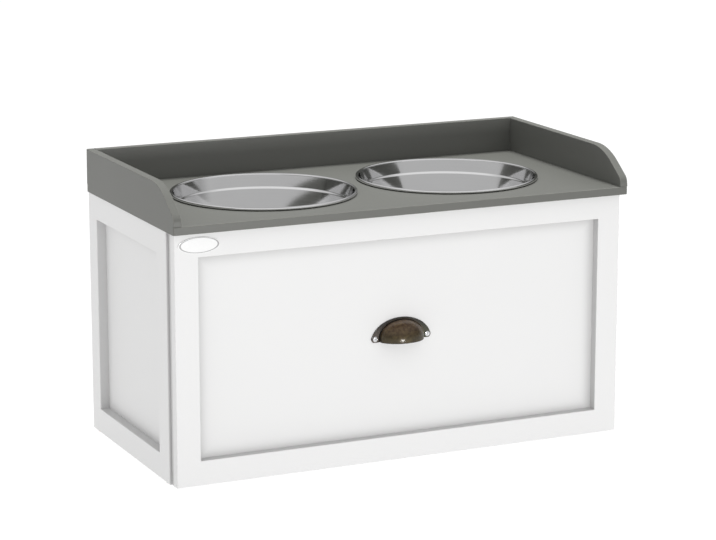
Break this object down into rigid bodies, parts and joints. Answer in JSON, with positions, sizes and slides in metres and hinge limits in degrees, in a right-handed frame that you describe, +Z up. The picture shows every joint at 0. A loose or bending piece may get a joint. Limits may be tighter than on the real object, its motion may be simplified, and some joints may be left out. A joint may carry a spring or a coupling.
{
  "type": "elevated dog feeder with storage",
  "caption": "Raised pet feeding station: two lift-out steel bowls in a grey tray top over a white panelled cabinet with one deep drawer and a cup pull",
  "frame": {"origin": "centre of the footprint, on the floor under the foot pads", "axes": "+X to the right along the width, +Y towards the back, +Z up; the drawer opens towards -Y"},
  "size_m": [0.6, 0.3, 0.361],
  "materials": {
    "white_board": "satin white lacquer on fibreboard",
    "grey_board": "satin grey lacquer on fibreboard",
    "stainless": "polished stainless steel",
    "antique_bronze": "antique bronze, dark and satin",
    "zinc_steel": "bright zinc plate",
    "runner_steel": "white powder coat",
    "nylon": "moulded nylon",
    "pad_plastic": "soft clear plastic",
    "plate_plastic": "glossy, grey edge line",
    "beech": "bare turned beech"
  },
  "bodies": {
    "cabinet": {"top_board": "grey_board", "back_rail": "grey_board", "left_cheek": "grey_board", "right_cheek": "grey_board", "left_side_panel": "white_board", "left_side_front_stile": "white_board", "left_side_back_stile": "white_board", "left_side_top_rail": "white_board", "left_side_bottom_rail": "white_board", "right_side_panel": "white_board", "right_side_front_stile": "white_board", "right_side_back_stile": "white_board", "right_side_top_rail": "white_board", "right_side_bottom_rail": "white_board", "bottom_board": "white_board", "front_stretcher": "white_board", "rear_stretcher": "white_board", "back_panel": "white_board", "foot_pads": "pad_plastic", "bumpers": "pad_plastic", "wood_dowels": "beech", "stretcher_dowels": "beech", "cam_bolts": "zinc_steel", "cam_discs": "zinc_steel", "rail_screws": "zinc_steel", "back_screws": "zinc_steel", "left_cabinet_runner": "runner_steel", "right_cabinet_runner": "runner_steel", "cabinet_runner_screws": "zinc_steel"},
    "drawer": {"drawer_front_panel": "white_board", "drawer_front_left_stile": "white_board", "drawer_front_right_stile": "white_board", "drawer_front_top_rail": "white_board", "drawer_front_bottom_rail": "white_board", "drawer_inner_front": "white_board", "drawer_left_side": "white_board", "drawer_right_side": "white_board", "drawer_back": "white_board", "drawer_bottom": "white_board", "left_drawer_runner": "runner_steel", "right_drawer_runner": "runner_steel", "drawer_runner_screws": "zinc_steel", "drawer_box_screws": "zinc_steel", "drawer_front_screws": "zinc_steel", "cup_pull": "antique_bronze", "pull_screws": "zinc_steel", "oval_plate": "plate_plastic"},
    "left_front_roller": {"left_front_roller": "nylon"},
    "right_front_roller": {"right_front_roller": "nylon"},
    "left_rear_roller": {"left_rear_roller": "nylon"},
    "right_rear_roller": {"right_rear_roller": "nylon"},
    "left_bowl": {"left_bowl": "stainless"},
    "right_bowl": {"right_bowl": "stainless"}
  },
  "joints": [
    {"name": "drawer_slide", "type": "slide", "parent": "cabinet", "child": "drawer", "axis": [0, -1, 0], "range_m": [0, 0.19]},
    {"name": "left_bowl_lift", "type": "slide", "parent": "cabinet", "child": "left_bowl", "axis": [0, 0, 1], "range_m": [0, 0.12]},
    {"name": "right_bowl_lift", "type": "slide", "parent": "cabinet", "child": "right_bowl", "axis": [0, 0, 1], "range_m": [0, 0.12]},
    {"name": "left_front_roller_spin", "type": "hinge", "parent": "cabinet", "child": "left_front_roller", "pos_m": [-0.2757, -0.108, 0.0475], "axis": [1, 0, 0], "range_deg": [0, 1210]},
    {"name": "right_front_roller_spin", "type": "hinge", "parent": "cabinet", "child": "right_front_roller", "pos_m": [0.2757, -0.108, 0.0475], "axis": [1, 0, 0], "range_deg": [0, 1210]},
    {"name": "left_rear_roller_spin", "type": "hinge", "parent": "drawer", "child": "left_rear_roller", "pos_m": [-0.27485, 0.1155, 0.0475], "axis": [1, 0, 0], "range_deg": [0, 1210]},
    {"name": "right_rear_roller_spin", "type": "hinge", "parent": "drawer", "child": "right_rear_roller", "pos_m": [0.27485, 0.1155, 0.0475], "axis": [1, 0, 0], "range_deg": [0, 1210]}
  ],
  "couplings": [
    {"joint": "left_front_roller_spin", "follows": "drawer_slide", "rad_per_m": 111.11},
    {"joint": "right_front_roller_spin", "follows": "drawer_slide", "rad_per_m": 111.11},
    {"joint": "left_rear_roller_spin", "follows": "drawer_slide", "rad_per_m": 111.11},
    {"joint": "right_rear_roller_spin", "follows": "drawer_slide", "rad_per_m": 111.11}
  ]
}
